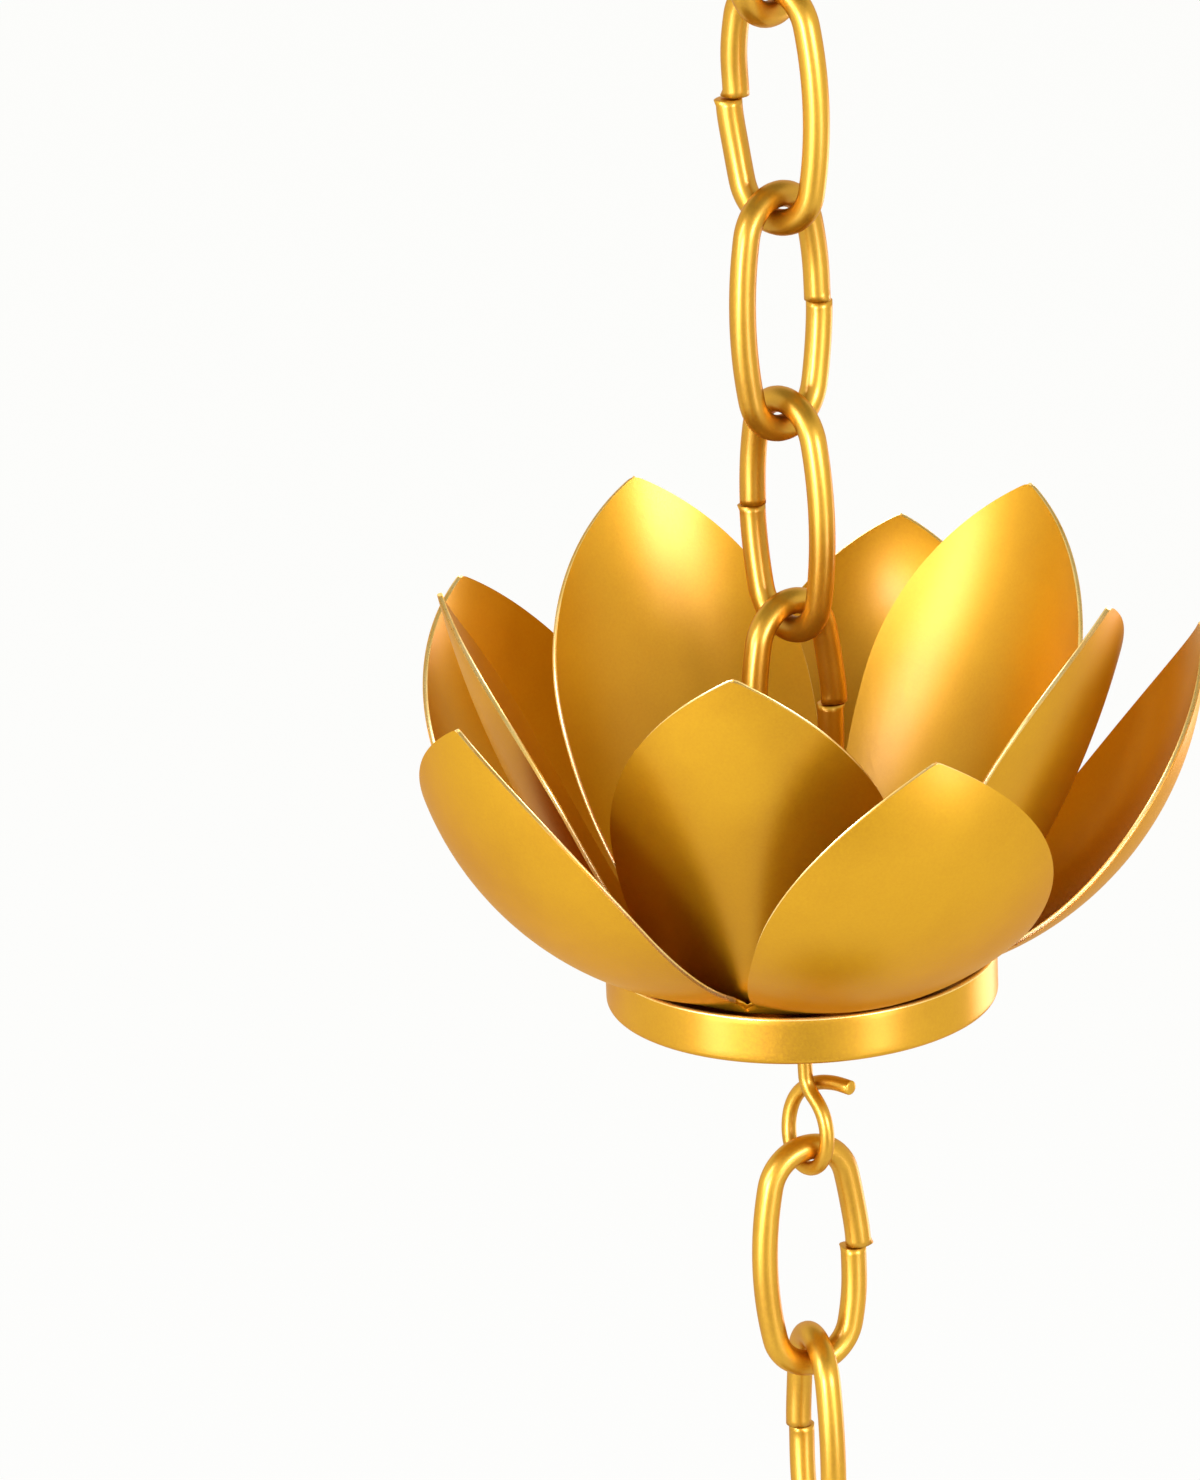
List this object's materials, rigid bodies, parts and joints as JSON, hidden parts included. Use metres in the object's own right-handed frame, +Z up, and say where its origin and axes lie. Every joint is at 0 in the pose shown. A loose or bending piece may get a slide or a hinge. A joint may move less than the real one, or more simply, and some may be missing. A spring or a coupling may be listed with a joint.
{
  "type": "rain chain",
  "caption": "Hanging rain chain of oval wire links with lotus-shaped cups of two petal layers on round bases, ending in a yellow glass drop.",
  "frame": {"origin": "bearing point inside the top link, where a hook carries the chain", "axes": "+Z up along the plumb chain; the seams of the links face roughly +X, as each is turned"},
  "size_m": [0.1246, 0.1224, 1.1843],
  "materials": {
    "gold_paint": "satin gold paint with fine grain",
    "silver_wire": "bright wire",
    "glass": "clear yellow"
  },
  "bodies": {
    "link_01": {"link_01": "gold_paint"},
    "link_02": {"link_02": "gold_paint"},
    "link_03": {"link_03": "gold_paint"},
    "link_04": {"link_04": "gold_paint"},
    "link_05": {"link_05": "gold_paint"},
    "cup_1": {"cup_1_base": "gold_paint", "cup_1_outer_petals": "gold_paint", "cup_1_inner_petals": "gold_paint", "cup_1_hanger": "gold_paint"},
    "link_06": {"link_06": "gold_paint"},
    "link_07": {"link_07": "gold_paint"},
    "link_08": {"link_08": "gold_paint"},
    "link_09": {"link_09": "gold_paint"},
    "link_10": {"link_10": "gold_paint"},
    "link_11": {"link_11": "gold_paint"},
    "link_12": {"link_12": "gold_paint"},
    "link_13": {"link_13": "gold_paint"},
    "cup_2": {"cup_2_base": "gold_paint", "cup_2_outer_petals": "gold_paint", "cup_2_inner_petals": "gold_paint", "cup_2_hanger": "gold_paint"},
    "link_14": {"link_14": "gold_paint"},
    "link_15": {"link_15": "gold_paint"},
    "link_16": {"link_16": "gold_paint"},
    "link_17": {"link_17": "gold_paint"},
    "link_18": {"link_18": "gold_paint"},
    "link_19": {"link_19": "gold_paint"},
    "link_20": {"link_20": "gold_paint"},
    "link_21": {"link_21": "gold_paint"},
    "cup_3": {"cup_3_base": "gold_paint", "cup_3_outer_petals": "gold_paint", "cup_3_inner_petals": "gold_paint", "cup_3_hanger": "gold_paint"},
    "link_22": {"link_22": "gold_paint"},
    "link_23": {"link_23": "gold_paint"},
    "link_24": {"link_24": "gold_paint"},
    "link_25": {"link_25": "gold_paint"},
    "link_26": {"link_26": "gold_paint"},
    "link_27": {"link_27": "gold_paint"},
    "link_28": {"link_28": "gold_paint"},
    "link_29": {"link_29": "gold_paint"},
    "pendant": {"pendant_wire": "silver_wire", "pendant_drop": "glass"}
  },
  "joints": [
    {"name": "link_02_swing", "type": "hinge", "parent": "link_01", "child": "link_02", "pos_m": [0, 0, -0.034], "axis": [0.9976, 0.0698, 0], "range_deg": [-40, 40]},
    {"name": "link_03_swing", "type": "hinge", "parent": "link_02", "child": "link_03", "pos_m": [0, 0, -0.06575], "axis": [-0.1392, 0.9903, 0], "range_deg": [-40, 40]},
    {"name": "link_04_swing", "type": "hinge", "parent": "link_03", "child": "link_04", "pos_m": [0, 0, -0.0975], "axis": [-0.9994, -0.0349, 0], "range_deg": [-40, 40]},
    {"name": "link_05_swing", "type": "hinge", "parent": "link_04", "child": "link_05", "pos_m": [0, 0, -0.12925], "axis": [0.0349, -0.9994, 0], "range_deg": [-40, 40]},
    {"name": "cup_1_swing", "type": "hinge", "parent": "link_05", "child": "cup_1", "pos_m": [0, 0, -0.161], "axis": [-0.9903, 0.1392, 0], "range_deg": [-30, 30]},
    {"name": "link_06_swing", "type": "hinge", "parent": "cup_1", "child": "link_06", "pos_m": [-0.00004, -0.00025, -0.2171], "axis": [0.1736, 0.9848, 0], "range_deg": [-40, 40]},
    {"name": "link_07_swing", "type": "hinge", "parent": "link_06", "child": "link_07", "pos_m": [0, 0, -0.2497], "axis": [0.8988, -0.4384, 0], "range_deg": [-40, 40]},
    {"name": "link_08_swing", "type": "hinge", "parent": "link_07", "child": "link_08", "pos_m": [0, 0, -0.28145], "axis": [-0.515, -0.8572, 0], "range_deg": [-40, 40]},
    {"name": "link_09_swing", "type": "hinge", "parent": "link_08", "child": "link_09", "pos_m": [0, 0, -0.3132], "axis": [-0.8746, 0.4848, 0], "range_deg": [-40, 40]},
    {"name": "link_10_swing", "type": "hinge", "parent": "link_09", "child": "link_10", "pos_m": [0, 0, -0.34495], "axis": [0.6157, 0.788, 0], "range_deg": [-40, 40]},
    {"name": "link_11_swing", "type": "hinge", "parent": "link_10", "child": "link_11", "pos_m": [0, 0, -0.3767], "axis": [0.766, -0.6428, 0], "range_deg": [-40, 40]},
    {"name": "link_12_swing", "type": "hinge", "parent": "link_11", "child": "link_12", "pos_m": [0, 0, -0.40845], "axis": [-0.7071, -0.7071, 0], "range_deg": [-40, 40]},
    {"name": "link_13_swing", "type": "hinge", "parent": "link_12", "child": "link_13", "pos_m": [0, 0, -0.4402], "axis": [-0.6428, 0.766, 0], "range_deg": [-40, 40]},
    {"name": "cup_2_swing", "type": "hinge", "parent": "link_13", "child": "cup_2", "pos_m": [0, 0, -0.47195], "axis": [0.7431, 0.6691, 0], "range_deg": [-30, 30]},
    {"name": "link_14_swing", "type": "hinge", "parent": "cup_2", "child": "link_14", "pos_m": [-0.00017, 0.00019, -0.52805], "axis": [-0.6691, 0.7431, 0], "range_deg": [-40, 40]},
    {"name": "link_15_swing", "type": "hinge", "parent": "link_14", "child": "link_15", "pos_m": [0, 0, -0.56065], "axis": [-0.8829, -0.4695, 0], "range_deg": [-40, 40]},
    {"name": "link_16_swing", "type": "hinge", "parent": "link_15", "child": "link_16", "pos_m": [0, 0, -0.5924], "axis": [-0.309, 0.9511, 0], "range_deg": [-40, 40]},
    {"name": "link_17_swing", "type": "hinge", "parent": "link_16", "child": "link_17", "pos_m": [0, 0, -0.62415], "axis": [0.8572, 0.515, 0], "range_deg": [-40, 40]},
    {"name": "link_18_swing", "type": "hinge", "parent": "link_17", "child": "link_18", "pos_m": [0, 0, -0.6559], "axis": [0.225, -0.9744, 0], "range_deg": [-40, 40]},
    {"name": "link_19_swing", "type": "hinge", "parent": "link_18", "child": "link_19", "pos_m": [0, 0, -0.68765], "axis": [-0.7986, -0.6018, 0], "range_deg": [-40, 40]},
    {"name": "link_20_swing", "type": "hinge", "parent": "link_19", "child": "link_20", "pos_m": [0, 0, -0.7194], "axis": [-0.6947, 0.7193, 0], "range_deg": [-40, 40]},
    {"name": "link_21_swing", "type": "hinge", "parent": "link_20", "child": "link_21", "pos_m": [0, 0, -0.75115], "axis": [0.6018, 0.7986, 0], "range_deg": [-40, 40]},
    {"name": "cup_3_swing", "type": "hinge", "parent": "link_21", "child": "cup_3", "pos_m": [0, 0, -0.7829], "axis": [0.788, -0.6157, 0], "range_deg": [-30, 30]},
    {"name": "link_22_swing", "type": "hinge", "parent": "cup_3", "child": "link_22", "pos_m": [-0.00009, -0.00023, -0.839], "axis": [-0.3746, -0.9272, 0], "range_deg": [-40, 40]},
    {"name": "link_23_swing", "type": "hinge", "parent": "link_22", "child": "link_23", "pos_m": [0, 0, -0.8716], "axis": [-0.9781, 0.2079, 0], "range_deg": [-40, 40]},
    {"name": "link_24_swing", "type": "hinge", "parent": "link_23", "child": "link_24", "pos_m": [0, 0, -0.90335], "axis": [-0.0349, 0.9994, 0], "range_deg": [-40, 40]},
    {"name": "link_25_swing", "type": "hinge", "parent": "link_24", "child": "link_25", "pos_m": [0, 0, -0.9351], "axis": [-0.9511, -0.309, 0], "range_deg": [-40, 40]},
    {"name": "link_26_swing", "type": "hinge", "parent": "link_25", "child": "link_26", "pos_m": [0, 0, -0.96685], "axis": [0.309, -0.9511, 0], "range_deg": [-40, 40]},
    {"name": "link_27_swing", "type": "hinge", "parent": "link_26", "child": "link_27", "pos_m": [0, 0, -0.9986], "axis": [0.809, 0.5878, 0], "range_deg": [-40, 40]},
    {"name": "link_28_swing", "type": "hinge", "parent": "link_27", "child": "link_28", "pos_m": [0, 0, -1.03035], "axis": [-0.6157, 0.788, 0], "range_deg": [-40, 40]},
    {"name": "link_29_swing", "type": "hinge", "parent": "link_28", "child": "link_29", "pos_m": [0, 0, -1.0621], "axis": [-0.5736, -0.8192, 0], "range_deg": [-40, 40]},
    {"name": "pendant_swing", "type": "hinge", "parent": "link_29", "child": "pendant", "pos_m": [0, 0, -1.09385], "axis": [0.891, -0.454, 0], "range_deg": [-40, 40]}
  ]
}
